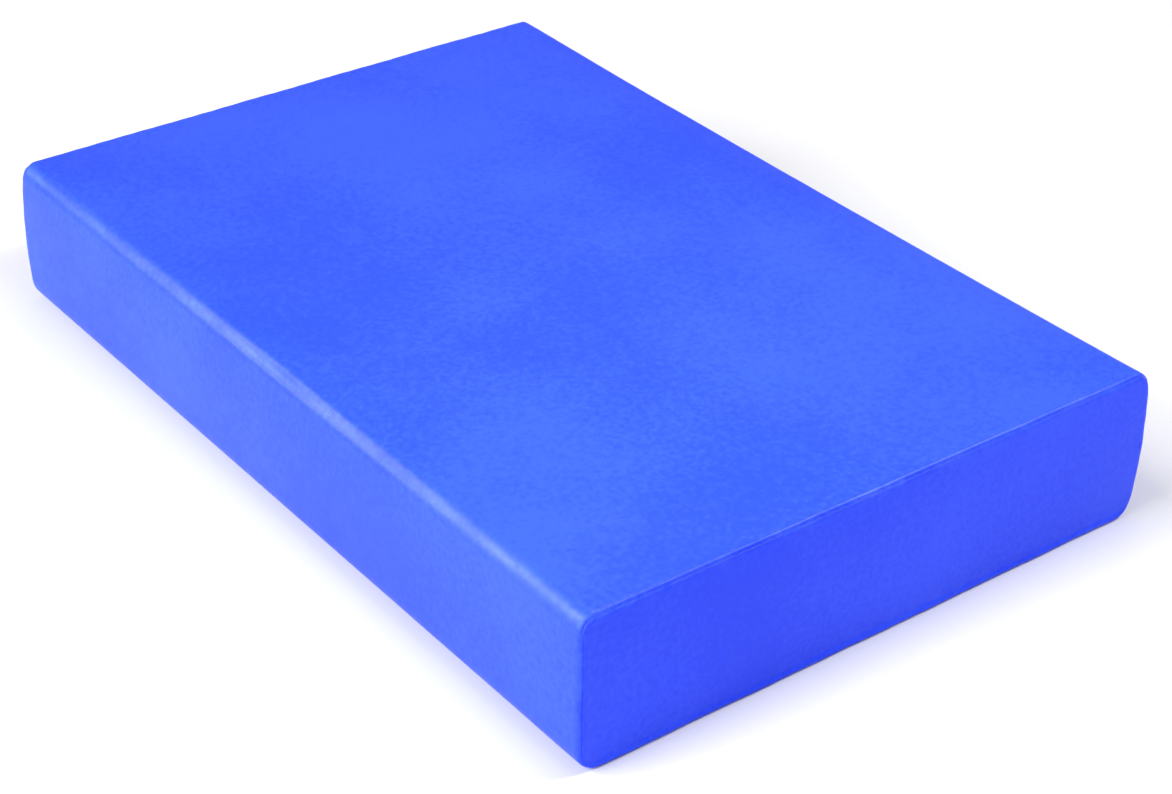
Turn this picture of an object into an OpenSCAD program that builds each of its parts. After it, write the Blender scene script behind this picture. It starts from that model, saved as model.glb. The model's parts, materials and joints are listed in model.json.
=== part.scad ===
// Balance pad: a foam block in a sewn, wipe-clean cover that closes with a zip.
// X runs across the pad, Y along it and Z up. The origin is the centre of the underside.

/* [Pad] */
// Length of the pad, over its cover
pad_l = 454; // [300:1:700]
// Width of the pad, over its cover
pad_w = 307; // [200:1:500]
// Height of the pad, over its cover
pad_h = 75; // [64:1:120]
// Outer radius of the covered edges
edge_r = 9; // [8:0.5:11]

/* [Cover] */
// Thickness of the coated cover fabric
skin_t = 1; // [0.6:0.1:1.1]
// Width of the turned-in seam allowance, from the rounded edge inwards
allowance = 4; // [2:0.5:6]
// Thickness of the sewing thread
thread_d = 0.3; // [0.2:0.05:0.35]

/* [Zip] */
// Gap between the folded fabric edges beside the zip
window_w = 10; // [9.4:0.2:14]
// Distance from each end of the pad to the end of that gap
window_end = 14; // [13.5:0.5:40]
// Width that the fabric is folded under beside the zip
fold_w = 10; // [8:0.5:11]
// Width of one zip tape
tape_w = 15; // [12:0.5:16]
// Thickness of a zip tape
tape_t = 0.6; // [0.4:0.1:0.7]
// Width of one coil, from its back to its tips
coil_w = 2.4; // [2:0.1:2.6]
// Thickness of a coil
coil_t = 2.1; // [1.8:0.1:2.2]
// Distance from one turn of a coil to the next
coil_pitch = 1.8; // [1.4:0.1:2.4]
// Gap between the tips of the two coils, where the slider's web runs
coil_gap = 0.8; // [0.6:0.1:1.4]

/* [Slider] */
// Length of the slider's body
slider_l = 12; // [11:0.5:14]
// Width of the slider's body
slider_w = 8.6; // [8.2:0.1:8.8]
// Length of the pull, from its hinge bar to its tip
pull_l = 27; // [20:1:40]
// Width of the pull's tab
pull_w = 6.4; // [5.6:0.2:9]

/* [Hidden] */
$fn = 64;

cover_blue = "#4a6dfb";
zip_blue = "#2b45b8";
thread_blue = "#3d5ce0";
foam_grey = "#d8d6c8";
nickel = "#c4c6c8";

// The panels are double at their seams, where the allowance is turned in
band_t = 2 * skin_t;
band_w = edge_r + allowance;
// Room between the doubled seams and the foam, where the seam thread lies
thread_room = 0.5;
// Slack between the fabric and the foam everywhere else
foam_slack = 0.2;

// The zip lies halfway up the right-hand side
zip_z = pad_h / 2;
face_x = pad_w / 2;
window_l = pad_l - 2 * window_end;
tape_l = pad_l - 2 * edge_r - 1;
tape_x = face_x - band_t;
tape_out = coil_gap / 2 + tape_w;
tape_slack = 0.2;

// The coils stop short of the window's ends, and the stops close them off
stop_l = 2.5;
stop_margin = 4.3;
coil_l = window_l - 2 * (stop_l + stop_margin);
stop_y = coil_l / 2 + 0.2;
stop_t = coil_t + 0.3;

// The slider's plates clear the tape and the coil by this much
run_gap = 0.2;
plate_t = 1.2;
outer_plate_x = tape_x + coil_t + run_gap;
inner_plate_x = tape_x - tape_t - run_gap;
web_w = coil_gap / 2;
web_l = 3;
flange_w = 0.8;
shoulder_l = 3;
// Parked position of the slider, with the zip closed, this far from the top stops
park_gap = 0.4;
slider_y = stop_y - slider_l / 2 - park_gap;

// The bail is the small arch that holds the pull
bail_w = 1.8;
bail_l = 7.6;
bail_t = 1;
bail_h = 1.5;
bar_d = 1.2;
hinge_x = outer_plate_x + plate_t + bail_h / 2;
arm_gap = bail_w / 2 + 0.3;
arm_l = bail_l / 2 + 1;

stitch_l = 3;
stitch_pitch = 4;
stitch_h = 0.3;
stitch_w = 0.5;
// Distance from the folded edge to the row of stitches beside it
stitch_inset = 2;
tack_l = 2.4;

// --- Shapes that the panels and the foam share ---

// Flat rectangle of w by l with rounded corners, centred
module round_rect(w, l, r) {
    square([w - 2 * r, l], center = true);
    square([w, l - 2 * r], center = true);
    for (x = [-1, 1], y = [-1, 1])
        translate([x * (w / 2 - r), y * (l / 2 - r)])
            circle(r);
}

// The pad's cross-section, run along Y over a given length, with its sides moved in by inset
module lengthwise(inset, length) {
    translate([0, length / 2, pad_h / 2])
        rotate([90, 0, 0])
            linear_extrude(length)
                round_rect(pad_w - 2 * inset, pad_h - 2 * inset, edge_r - inset);
}

// The pad's outer shape with every face moved in by inset
module pad_block(inset) {
    intersection() {
        lengthwise(inset, pad_l - 2 * inset);
        translate([0, 0, inset])
            linear_extrude(pad_h - 2 * inset)
                round_rect(pad_w - 2 * inset, pad_l - 2 * inset, edge_r - inset);
        translate([-pad_w / 2, 0, pad_h / 2])
            rotate([90, 0, 90])
                linear_extrude(pad_w)
                    round_rect(pad_l - 2 * inset, pad_h - 2 * inset, edge_r - inset);
    }
}

// What the cover encloses: moved in by at_seams along the seams and by flat elsewhere
module inside(at_seams, flat) {
    pad_block(at_seams);
    intersection() {
        lengthwise(flat, pad_l - 2 * band_w);
        translate([-pad_w / 2, -pad_l / 2, band_w])
            cube([pad_w, pad_l, pad_h]);
    }
    translate([band_w - pad_w / 2, band_w - pad_l / 2, flat])
        cube([pad_w - 2 * band_w, pad_l - 2 * band_w, pad_h / 2]);
    translate([band_w - pad_w / 2, flat - pad_l / 2, band_w])
        cube([pad_w - 2 * band_w, pad_l - 2 * flat, pad_h - 2 * band_w]);
}

// The whole cover before it is cut into panels
module cover() {
    difference() {
        pad_block(0);
        inside(band_t, skin_t);
    }
}

// Space of the front end panel: everything nearer to the front face than to the faces around it
module front_space() {
    intersection() {
        translate([-pad_w / 2, 0, 0])
            rotate([90, 0, 90])
                linear_extrude(pad_w)
                    polygon([
                        [-pad_l / 2, 0],
                        [(pad_h - pad_l) / 2, pad_h / 2],
                        [-pad_l / 2, pad_h],
                    ]);
        linear_extrude(pad_h)
            polygon([
                [-pad_w / 2, -pad_l / 2],
                [0, (pad_w - pad_l) / 2],
                [pad_w / 2, -pad_l / 2],
            ]);
    }
}

// Space of the base panel: everything nearer to the underside than to the faces around it
module base_space() {
    reach = pad_h / 2;
    intersection() {
        translate([0, pad_l / 2, 0])
            rotate([90, 0, 0])
                linear_extrude(pad_l)
                    polygon([
                        [-pad_w / 2, 0],
                        [reach - pad_w / 2, reach],
                        [pad_w / 2 - reach, reach],
                        [pad_w / 2, 0],
                    ]);
        translate([-pad_w / 2, 0, 0])
            rotate([90, 0, 90])
                linear_extrude(pad_w)
                    polygon([
                        [-pad_l / 2, 0],
                        [reach - pad_l / 2, reach],
                        [pad_l / 2 - reach, reach],
                        [pad_l / 2, 0],
                    ]);
    }
}

// Space of the right-hand side from height z0 to z1
module right_side_space(z0, z1) {
    translate([face_x - band_w, -pad_l / 2, z0])
        cube([band_w + 1, pad_l, z1 - z0]);
}

// The gap between the folded edges, from height z0 to z1
module window(z0, z1) {
    translate([face_x - band_w, -window_l / 2, z0])
        cube([band_w + 1, window_l, z1 - z0]);
}

// Fabric folded under along one edge of the window, with its lower edge at height z
module fold(z) {
    translate([face_x - band_t, -window_l / 2, z])
        cube([band_t - skin_t / 2, window_l, fold_w]);
}

// A straight run of the zip, from x0 to x1 across the side's thickness and z0 to z1 in height
module zip_run(x0, x1, length, z0, z1) {
    translate([x0, -length / 2, z0])
        cube([x1 - x0, length, z1 - z0]);
}

// --- Foam ---

module foam_core() {
    tape_room = band_t + tape_t + tape_slack;
    plate_room = band_t + tape_t + run_gap + plate_t + 0.3;
    color(foam_grey)
        difference() {
            inside(band_t + thread_room, skin_t + foam_slack);
            zip_run(face_x - tape_room, face_x + 1, tape_l + 1, zip_z - tape_out - 1, zip_z + tape_out + 1);
            zip_run(face_x - plate_room, face_x, window_l, zip_z - window_w / 2, zip_z + window_w / 2);
        }
}

// --- Cover panels ---

// One piece: the top, the left side and the right side down to the zip
module wrap_panel() {
    color(cover_blue) {
        difference() {
            cover();
            front_space();
            mirror([0, 1, 0])
                front_space();
            base_space();
            right_side_space(0, zip_z);
            window(0, zip_z + window_w / 2);
        }
        fold(zip_z + window_w / 2);
    }
}

module front_end_panel() {
    color(cover_blue)
        intersection() {
            cover();
            front_space();
        }
}

module rear_end_panel() {
    mirror([0, 1, 0])
        front_end_panel();
}

module base_panel() {
    color(cover_blue)
        intersection() {
            cover();
            base_space();
        }
}

// The strip of the right side between the zip and the base
module zip_side_strip() {
    color(cover_blue) {
        difference() {
            intersection() {
                cover();
                right_side_space(0, zip_z);
            }
            front_space();
            mirror([0, 1, 0])
                front_space();
            base_space();
            window(zip_z - window_w / 2, zip_z);
        }
        fold(zip_z - window_w / 2 - fold_w);
    }
}

// --- Seam threads ---

// Depth below each of two faces at which a thread lies under the rounded edge between them
function thread_depth() = edge_r - (edge_r - band_t - thread_room / 2) / sqrt(2);

// Closed loop of thread behind the seam of the front end panel
module front_seam_thread() {
    depth = thread_depth();
    color(thread_blue)
        translate([0, depth - pad_l / 2 + thread_d / 2, pad_h / 2])
            rotate([90, 0, 0])
                linear_extrude(thread_d)
                    difference() {
                        square([pad_w - 2 * depth + thread_d, pad_h - 2 * depth + thread_d], center = true);
                        square([pad_w - 2 * depth - thread_d, pad_h - 2 * depth - thread_d], center = true);
                    }
}

module rear_seam_thread() {
    mirror([0, 1, 0])
        front_seam_thread();
}

// The two long seams between the base and the sides
module base_seam_threads() {
    depth = thread_depth();
    length = pad_l - 2 * depth - 3 * thread_d;
    color(thread_blue)
        for (side = [-1, 1])
            translate([side * (pad_w / 2 - depth), 0, depth])
                cube([thread_d, length, thread_d], center = true);
}

// --- Zip ---

module zip_tape_upper() {
    color(zip_blue)
        zip_run(tape_x - tape_t, tape_x, tape_l, zip_z + coil_gap / 2, zip_z + tape_out);
}

module zip_tape_lower() {
    translate([0, 0, 2 * zip_z])
        mirror([0, 0, 1])
            zip_tape_upper();
}

// Outline of one turn of a coil, as four points from its back to its tip
function turn(y, back, tip, half_w) = [
    [y - half_w, back],
    [y - half_w, tip],
    [y + half_w, tip],
    [y + half_w, back],
];

// A coil drawn as a comb: a back with one straight turn at every pitch, from y0 on
module coil(y0) {
    back = coil_gap / 2 + coil_w;
    spine = back - 0.8;
    half_w = coil_pitch / 4;
    count = floor((coil_l / 2 - half_w - y0) / coil_pitch);
    end_y = y0 + count * coil_pitch + half_w;
    turns = [for (i = [0 : count]) each turn(y0 + i * coil_pitch, spine, coil_gap / 2, half_w)];
    outline = concat([[y0 - half_w, back]], turns, [[end_y, back]]);
    translate([tape_x, 0, zip_z])
        rotate([90, 0, 90])
            linear_extrude(coil_t)
                polygon(outline);
}

module zip_coil_upper() {
    color(zip_blue)
        coil(coil_pitch / 2 - coil_l / 2);
}

// The lower coil is half a pitch further along
module zip_coil_lower() {
    color(zip_blue)
        translate([0, 0, 2 * zip_z])
            mirror([0, 0, 1])
                coil(coil_pitch - coil_l / 2);
}

// One clip on each coil, where the closed slider parks
module zip_top_stops() {
    color(nickel)
        for (side = [0, 1])
            translate([tape_x, stop_y, zip_z])
                mirror([0, 0, side])
                    translate([0, 0, coil_gap / 2])
                        cube([stop_t, stop_l, coil_w]);
}

// One clip across both coils, where the open slider ends
module zip_bottom_stop() {
    width = coil_gap + 2 * coil_w;
    color(nickel)
        translate([tape_x, -stop_y - stop_l, zip_z - width / 2])
            cube([stop_t, stop_l, width]);
}

// A dense block of thread across each end of the window
module zip_bar_tacks() {
    color(thread_blue)
        for (side = [0, 1])
            mirror([0, side, 0])
                translate([face_x, window_l / 2 + 0.6, zip_z - window_w / 2 - 1])
                    cube([stitch_h, tack_l, window_w + 2]);
}

// Row of topstitches that holds the tape, on the outside of the folded fabric
module zip_stitches_upper() {
    count = floor((window_l - stitch_l) / stitch_pitch);
    start = -count * stitch_pitch / 2;
    color(thread_blue)
        for (i = [0 : count])
            translate([
                face_x + stitch_h / 2,
                start + i * stitch_pitch,
                zip_z + window_w / 2 + stitch_inset,
            ])
                cube([stitch_h, stitch_l, stitch_w], center = true);
}

module zip_stitches_lower() {
    translate([0, 0, 2 * zip_z])
        mirror([0, 0, 1])
            zip_stitches_upper();
}

// --- Slider ---

// Plate of the slider: wide shoulders where the coils enter, narrow where they leave together
module slider_plate(x) {
    front = slider_l / 2;
    half = slider_w / 2;
    rear_half = half - 1;
    translate([x, 0, 0])
        rotate([90, 0, 90])
            linear_extrude(plate_t)
                polygon([
                    [-front, -rear_half],
                    [front - shoulder_l - 1, -half],
                    [front - 1, -half],
                    [front, 1 - half],
                    [front, half - 1],
                    [front - 1, half],
                    [front - shoulder_l - 1, half],
                    [-front, rear_half],
                ]);
}

// Lips under the outer plate that keep the coils in the slider
module slider_flanges() {
    length = shoulder_l;
    for (side = [-1, 1])
        translate([
            tape_x + run_gap,
            slider_l / 2 - 1 - length,
            side * (slider_w / 2 - flange_w / 2) - flange_w / 2,
        ])
            cube([outer_plate_x - tape_x, length, flange_w]);
}

// Small arch on the outer plate that the pull hangs from
module slider_bail() {
    base_x = outer_plate_x + plate_t;
    for (side = [-1, 1])
        translate([base_x - 0.2, side * (bail_l - bail_t) / 2 - bail_t / 2, -bail_w / 2])
            cube([bail_h + 0.4, bail_t, bail_w]);
    translate([base_x + bail_h, -bail_l / 2, -bail_w / 2])
        cube([bail_t, bail_l, bail_w]);
}

module zip_slider() {
    color(nickel)
        translate([0, slider_y, zip_z]) {
            slider_plate(outer_plate_x);
            slider_plate(inner_plate_x - plate_t);
            slider_flanges();
            slider_bail();
            // The web joins the plates between the coils
            translate([inner_plate_x - plate_t / 2, slider_l / 2 - web_l - 1, -web_w / 2])
                cube([outer_plate_x - inner_plate_x + plate_t, web_l, web_w]);
        }
}

// The pull lies back over the closed zip. Its hinge bar runs through the bail.
module zip_pull() {
    arm_w = pull_w / 2 - arm_gap;
    overlap = 0.5;
    eye = 1.8;
    eye_rim = 1.4;
    color(nickel)
        translate([hinge_x, slider_y, zip_z]) {
            cylinder(h = pull_w, d = bar_d, center = true);
            for (side = [-1, 1])
                translate([-bar_d / 2, -arm_l - overlap, side * (arm_gap + arm_w / 2) - arm_w / 2])
                    cube([bar_d, arm_l + overlap, arm_w]);
            difference() {
                translate([-bar_d / 2, -pull_l, -pull_w / 2])
                    cube([bar_d, pull_l - arm_l, pull_w]);
                translate([0, eye + eye_rim - pull_l, 0])
                    rotate([0, 90, 0])
                        cylinder(h = 2 * bar_d, r = eye, center = true);
            }
        }
}

foam_core();
wrap_panel();
front_end_panel();
rear_end_panel();
base_panel();
zip_side_strip();
front_seam_thread();
rear_seam_thread();
base_seam_threads();
zip_tape_upper();
zip_tape_lower();
zip_coil_upper();
zip_coil_lower();
zip_top_stops();
zip_bottom_stop();
zip_bar_tacks();
zip_stitches_upper();
zip_stitches_lower();
zip_slider();
zip_pull();
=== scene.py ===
"""Balance pad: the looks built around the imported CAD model, in metres, in the CAD's frame.

The cover is five sewn panels. A place on it is given by s, the distance round the pad's
cross-section from the zip line upwards, and t, the distance along the pad from its middle,
which goes on round the rounded edge at each end.
"""

import json
import math

import bpy
import numpy as np
from mathutils import Matrix, Vector, kdtree


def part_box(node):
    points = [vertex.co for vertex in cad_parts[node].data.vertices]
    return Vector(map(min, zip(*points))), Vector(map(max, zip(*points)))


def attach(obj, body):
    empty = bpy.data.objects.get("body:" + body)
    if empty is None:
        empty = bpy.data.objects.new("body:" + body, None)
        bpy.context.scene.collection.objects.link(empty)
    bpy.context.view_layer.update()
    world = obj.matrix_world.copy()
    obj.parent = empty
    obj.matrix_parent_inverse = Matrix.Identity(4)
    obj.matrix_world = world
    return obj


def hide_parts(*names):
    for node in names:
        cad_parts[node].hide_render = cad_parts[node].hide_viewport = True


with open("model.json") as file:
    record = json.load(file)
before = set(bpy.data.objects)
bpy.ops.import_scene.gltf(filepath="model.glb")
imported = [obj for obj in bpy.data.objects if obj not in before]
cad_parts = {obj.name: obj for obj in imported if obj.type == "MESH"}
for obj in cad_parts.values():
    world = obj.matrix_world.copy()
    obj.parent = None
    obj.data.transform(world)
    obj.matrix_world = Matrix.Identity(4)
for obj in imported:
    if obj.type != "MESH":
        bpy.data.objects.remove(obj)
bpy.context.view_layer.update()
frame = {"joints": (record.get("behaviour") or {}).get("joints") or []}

MM = 0.001

# --- Sizes from the frame ---

half_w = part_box("wrap_panel")[1].x
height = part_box("wrap_panel")[1].z
half_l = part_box("rear_end_panel")[1].y
tape_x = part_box("zip_tape_upper")[1].x
zip_z = (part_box("zip_tape_upper")[0].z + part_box("zip_tape_lower")[1].z) / 2
window_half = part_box("zip_coil_upper")[1].z - zip_z + 2.2 * MM
stitch_row = (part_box("zip_stitches_upper")[0].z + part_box("zip_stitches_upper")[1].z) / 2 - zip_z
tack_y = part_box("zip_bar_tacks")[1].y

# --- Sizes of the sewn cover ---

fold_r = 8 * MM         # the two long top edges, where the fabric only bends
base_r = 11.5 * MM      # the two long bottom edges, which are sewn
seam_r = 3.2 * MM       # the edges round the two ends, which are sewn
seam_angle = math.radians(60)   # where the end seams lie, from the sides' direction towards the ends'
low_seam_angle = math.radians(30)   # the same along the underside, where the wrap is pulled under the end
skin = 1 * MM           # fabric thickness
lip_r = 0.35 * MM       # how tightly the fabric turns in at a seam
flange = 2.2 * MM       # how far it goes on inwards from there
seam_gap = 0.03 * MM    # half the gap between two panels at their seam
hem_r = (half_w - tape_x) / 2 - 0.03 * MM   # the fold beside the zip
hem_under = 8 * MM      # how far the fabric goes back behind that fold

# --- How full the cover lies, as distances out from the plain pad ---

full_swell = 3 * MM     # the simulated swelling that counts as full
side_swell = 0.5 * MM   # what a full cover adds on the sides
side_inset = 0.2 * MM   # how far the sides lie in at their seams
side_taper = 1.7 * MM   # how much further they lie in at the top and bottom edges
top_swell = 0.9 * MM    # what a full cover adds on the top
top_inset = 0.8 * MM    # how far the top lies in at its seams
fold_hollow = 0.9 * MM  # how far the long top edges dip half way along
hollow_reach = 22 * MM  # how far that dip goes from the edge
long_wave = 0.07 * MM   # unevenness over about 90 mm
short_wave = 0.04 * MM  # unevenness over about 28 mm
pucker_pitch = 12 * MM  # from one pucker beside a seam to the next
pucker_reach = 6.5 * MM     # how far a pucker goes from its seam
seam_wander = 0.28 * MM     # how far an end seam strays from its straight line

straight = half_l - seam_r
end_t = straight + seam_r * seam_angle


# --- The shape of the pad ---

def section_legs():
    """The cross-section's legs in order, as (length, radius), with no radius where a leg is straight."""
    quarter = math.pi / 2
    side = height - fold_r - base_r
    return [
        (height - fold_r - zip_z, 0),
        (quarter * fold_r, fold_r),
        (2 * (half_w - fold_r), 0),
        (quarter * fold_r, fold_r),
        (side, 0),
        (quarter * base_r, base_r),
        (2 * (half_w - base_r), 0),
        (quarter * base_r, base_r),
        (zip_z - base_r, 0),
    ]


legs = section_legs()
leg_start = np.concatenate([[0], np.cumsum([length for length, _ in legs])])
around = leg_start[-1]
left_seam_s = leg_start[5] + legs[5][0] * 0.7
right_seam_s = leg_start[7] + legs[7][0] * 0.3


def section_at(s):
    """Points and outward normals of the cross-section, as (x, z), at distances s round it."""
    s = np.mod(s, around)
    point = np.zeros((len(s), 2))
    normal = np.zeros((len(s), 2))
    start = np.array([half_w, zip_z])
    angle = 0.0
    for (length, radius), s0 in zip(legs, leg_start[:-1]):
        here = (s >= s0) & (s <= s0 + length)
        along = s[here] - s0
        outward = np.array([math.cos(angle), math.sin(angle)])
        forward = np.array([-outward[1], outward[0]])
        if radius:
            turn = angle + along / radius
            arc = np.stack([np.cos(turn), np.sin(turn)], 1)
            centre = start - radius * outward
            point[here] = centre + radius * arc
            normal[here] = arc
            angle += math.pi / 2
            start = centre + radius * np.array([math.cos(angle), math.sin(angle)])
        else:
            point[here] = start + np.outer(along, forward)
            normal[here] = outward
            start = start + length * forward
    return point, normal


def outside(s, t):
    """Points and outward normals of the plain pad at places s, t."""
    p, n = section_at(s)
    turn = np.clip(np.abs(t) - straight, 0, None) / seam_r
    seam_at = seam_angle + (low_seam_angle - seam_angle) * np.clip(-n[:, 1], 0, 1)
    beyond = np.clip(turn - seam_angle, 0, None) * (math.pi / 2 - seam_at) / (math.pi / 2 - seam_angle)
    beta = np.minimum(turn, seam_angle) * seam_at / seam_angle + beyond
    side = np.sign(t)
    inwards = seam_r * (1 - np.cos(beta))
    points = np.stack([
        p[:, 0] - inwards * n[:, 0],
        side * (np.minimum(np.abs(t), straight) + seam_r * np.sin(beta)),
        p[:, 1] - inwards * n[:, 1],
    ], 1)
    normals = np.stack([np.cos(beta) * n[:, 0], side * np.sin(beta), np.cos(beta) * n[:, 1]], 1)
    return points, normals


# --- How the fabric lies: swelling, puckers and waves ---

def wander(c, spacing, seed):
    """Smooth random values from -1 to 1 along c, with a new one every spacing."""
    values = np.random.default_rng(seed).uniform(-1, 1, 512)
    place = c / spacing + 200
    cell = np.floor(place).astype(int)
    part = place - cell
    part = part * part * (3 - 2 * part)
    return values[cell] * (1 - part) + values[cell + 1] * part


def waves(points, length, seed, count=10):
    """Smooth random values of about -1 to 1 in space, whose waves are about length long."""
    random = np.random.default_rng(seed)
    total = np.zeros(len(points))
    for _ in range(count):
        direction = random.normal(size=3)
        direction /= np.linalg.norm(direction)
        size = 2 * math.pi / (length * random.uniform(0.7, 1.5))
        total += np.sin(points @ direction * size + random.uniform(0, 2 * math.pi))
    return total / math.sqrt(count)


def dimples(c, seed):
    """Dimples from 0 to 1 along a seam, uneven in place and depth."""
    phase = 2 * math.pi * c / pucker_pitch + 2.2 * wander(c, 31 * MM, seed)
    depth = 0.6 + 0.4 * wander(c, 23 * MM, seed + 1)
    return depth * (0.5 + 0.5 * np.cos(phase)) ** 1.5


def puckers(points):
    """How far the fabric dips beside the seams."""
    x, y, z = points.T
    from_end = half_l - np.abs(y)
    from_side = half_w - np.abs(x)
    end_shift = np.where(y > 0, 47 * MM, 0)
    side_shift = np.where(x > 0, 29 * MM, 0)
    dip = np.zeros(len(points))
    for seed, reach, along, depth in (
        (1, np.hypot(from_end, height - z), x + end_shift, 0.38 * MM),
        (3, np.hypot(from_end, z), x + end_shift, 0.3 * MM),
        (5, np.hypot(from_end, from_side), z + end_shift + side_shift, 0.15 * MM),
        (7, np.hypot(from_side, z), y + side_shift, 0.3 * MM),
    ):
        dip += depth * dimples(along, seed) * np.exp(-reach / pucker_reach)
    return dip


def plain_swell(points):
    """How full the pad is at each point without simulation: 0 at the seams, 1 in the middle of a face."""
    x, y, z = points.T
    u = np.clip(np.abs(x) / half_w, 0, 1)
    v = np.clip(np.abs(y) / half_l, 0, 1)
    w = np.clip(np.abs(2 * z / height - 1), 0, 1)
    fullness = [1 - a**4 for a in (u, v, w)]
    return np.sort(fullness, 0)[1] ** 0.8


def grid_faces(rows, columns, first=0, closed=False):
    """Quads of a grid of points numbered row by row, closed where the last column meets the first."""
    r = np.arange(rows - 1)[:, None]
    c = np.arange(columns if closed else columns - 1)[None, :]
    c1 = (c + 1) % columns
    quads = np.stack([r * columns + c, r * columns + c1, (r + 1) * columns + c1, (r + 1) * columns + c], -1)
    return quads.reshape(-1, 4) + first


def new_mesh(name, points, faces, smooth=True):
    """A mesh object of these points and faces."""
    mesh = bpy.data.meshes.new(name)
    mesh.from_pydata(np.asarray(points).tolist(), [], [list(map(int, f)) for f in faces])
    mesh.validate()
    mesh.update()
    if smooth:
        mesh.shade_smooth()
    obj = bpy.data.objects.new(name, mesh)
    bpy.context.scene.collection.objects.link(obj)
    return obj


def coons(edge_a, edge_b, edge_c, edge_d):
    """Rows of points that fill four edges: a and c run forwards and backwards, b and d join them."""
    low, high = edge_a, edge_c[::-1]
    first, last = edge_d[::-1], edge_b
    u = np.linspace(0, 1, len(low))[None, :, None]
    v = np.linspace(0, 1, len(first))[:, None, None]
    sides = (1 - v) * low[None] + v * high[None] + (1 - u) * first[:, None] + u * last[:, None]
    corners = (1 - v) * ((1 - u) * low[0] + u * low[-1]) + v * ((1 - u) * high[0] + u * high[-1])
    return sides - corners


def loop_stations(step):
    """Places s round an end, in four runs from the middle of one corner to the middle of the next."""
    middles = [leg_start[i] + legs[i][0] / 2 for i in (1, 3, 5, 7)]
    middles.append(middles[0] + around)
    across = round(2 * half_w / step)
    up = round(height / step)
    return [np.linspace(middles[i], middles[i + 1], count + 1) for i, count in enumerate((across, up) * 2)]


def end_face(rim):
    """Fills the closed rim, four runs of points, and returns the inner rows' points and all quads.
    The quads' numbers count the rim's own points first, without each run's last, then the inner points."""
    grid = coons(*rim)
    rows, columns = grid.shape[:2]
    number = np.zeros((rows, columns), int)
    number[0, :] = np.arange(columns)
    number[:, -1] = columns - 1 + np.arange(rows)
    number[-1, ::-1] = columns + rows - 2 + np.arange(columns)
    number[::-1, 0] = np.append(2 * columns + rows - 3 + np.arange(rows - 1), 0)
    rim_count = 2 * (columns + rows) - 4
    number[1:-1, 1:-1] = rim_count + np.arange((rows - 2) * (columns - 2)).reshape(rows - 2, columns - 2)
    quads = np.stack([number[:-1, :-1], number[:-1, 1:], number[1:, 1:], number[1:, :-1]], -1)
    return grid[1:-1, 1:-1].reshape(-1, 3), quads.reshape(-1, 4)


def closed_block(name, inset, step):
    """A closed mesh of the whole pad, moved in by inset."""
    runs = loop_stations(step)
    s = np.concatenate([run[:-1] for run in runs])
    quarter = straight + seam_r * math.pi / 2
    along = round(2 * straight / step)
    bend = [straight + seam_r * math.radians(a) for a in (30, 60)]
    middle_rows = np.linspace(-straight, straight, along + 1)
    t_rows = np.concatenate([[-quarter], [-b for b in bend[::-1]], middle_rows, bend, [quarter]])
    rows = []
    for t in t_rows:
        p, n = outside(s, np.full(len(s), t))
        rows.append(p - inset * n)
    points = np.concatenate(rows)
    faces = grid_faces(len(t_rows), len(s), closed=True)[:, ::-1].tolist()
    for row, flip in ((0, False), (len(t_rows) - 1, True)):
        rim_points = rows[row]
        bounds = np.cumsum([0] + [len(run) - 1 for run in runs])
        rim = [rim_points[np.arange(a, b + 1) % len(s)] for a, b in zip(bounds[:-1], bounds[1:])]
        inner, quads = end_face(rim)
        number = np.concatenate([row * len(s) + np.arange(len(s)), len(points) + np.arange(len(inner))])
        quads = number[quads]
        faces += (quads[:, ::-1] if flip else quads).tolist()
        points = np.concatenate([points, inner])
    return new_mesh(name, points, faces)


def seam_distance(points):
    """Distance from each point to the nearest sewn edge of the pad."""
    x, y, z = points.T
    from_end = half_l - np.abs(y)
    from_side = half_w - np.abs(x)
    return np.minimum.reduce([
        np.hypot(from_end, height - z),
        np.hypot(from_end, z),
        np.hypot(from_end, from_side),
        np.hypot(from_side, z),
    ])


def simulated_swell():
    """Inflates a coarse cloth copy of the pad, held at its seams.
    Returns a tree of its points, and their moves."""
    start_inset = 1.5 * MM
    voxel = 6 * MM
    most = 4 * MM
    frames = 20
    obj = closed_block("swell_cloth", start_inset, voxel)
    remesh = obj.modifiers.new("remesh", "REMESH")
    remesh.mode = "VOXEL"
    remesh.voxel_size = voxel
    evaluated = obj.evaluated_get(bpy.context.evaluated_depsgraph_get())
    mesh = bpy.data.meshes.new_from_object(evaluated)
    obj.modifiers.clear()
    obj.data = mesh
    rest = mesh_points(mesh)
    held = np.clip(1.4 - seam_distance(rest) / (10 * MM), 0, 1)
    pins = obj.vertex_groups.new(name="pins")
    for i, weight in enumerate(held):
        pins.add([i], float(weight), "REPLACE")
    cloth = obj.modifiers.new("cloth", "CLOTH")
    settings = cloth.settings
    settings.quality = 5
    settings.mass = 0.3
    settings.tension_stiffness = 15
    settings.compression_stiffness = 15
    settings.bending_stiffness = 2
    settings.use_pressure = True
    settings.uniform_pressure_force = 4
    settings.vertex_group_mass = "pins"
    settings.effector_weights.gravity = 0
    cloth.collision_settings.use_collision = False
    cloth.point_cache.frame_start = 1
    cloth.point_cache.frame_end = frames
    for number in range(1, frames + 1):
        bpy.context.scene.frame_set(number)
    evaluated = obj.evaluated_get(bpy.context.evaluated_depsgraph_get())
    moved = mesh_points(evaluated.data)
    bpy.context.scene.frame_set(1)
    move = moved - rest
    size = np.linalg.norm(move, axis=1, keepdims=True)
    move *= np.minimum(1, most / np.maximum(size, 1e-9))
    tree = kdtree.KDTree(len(rest))
    for i, point in enumerate(rest):
        tree.insert(point, i)
    tree.balance()
    bpy.data.objects.remove(obj)
    return tree, move


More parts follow.
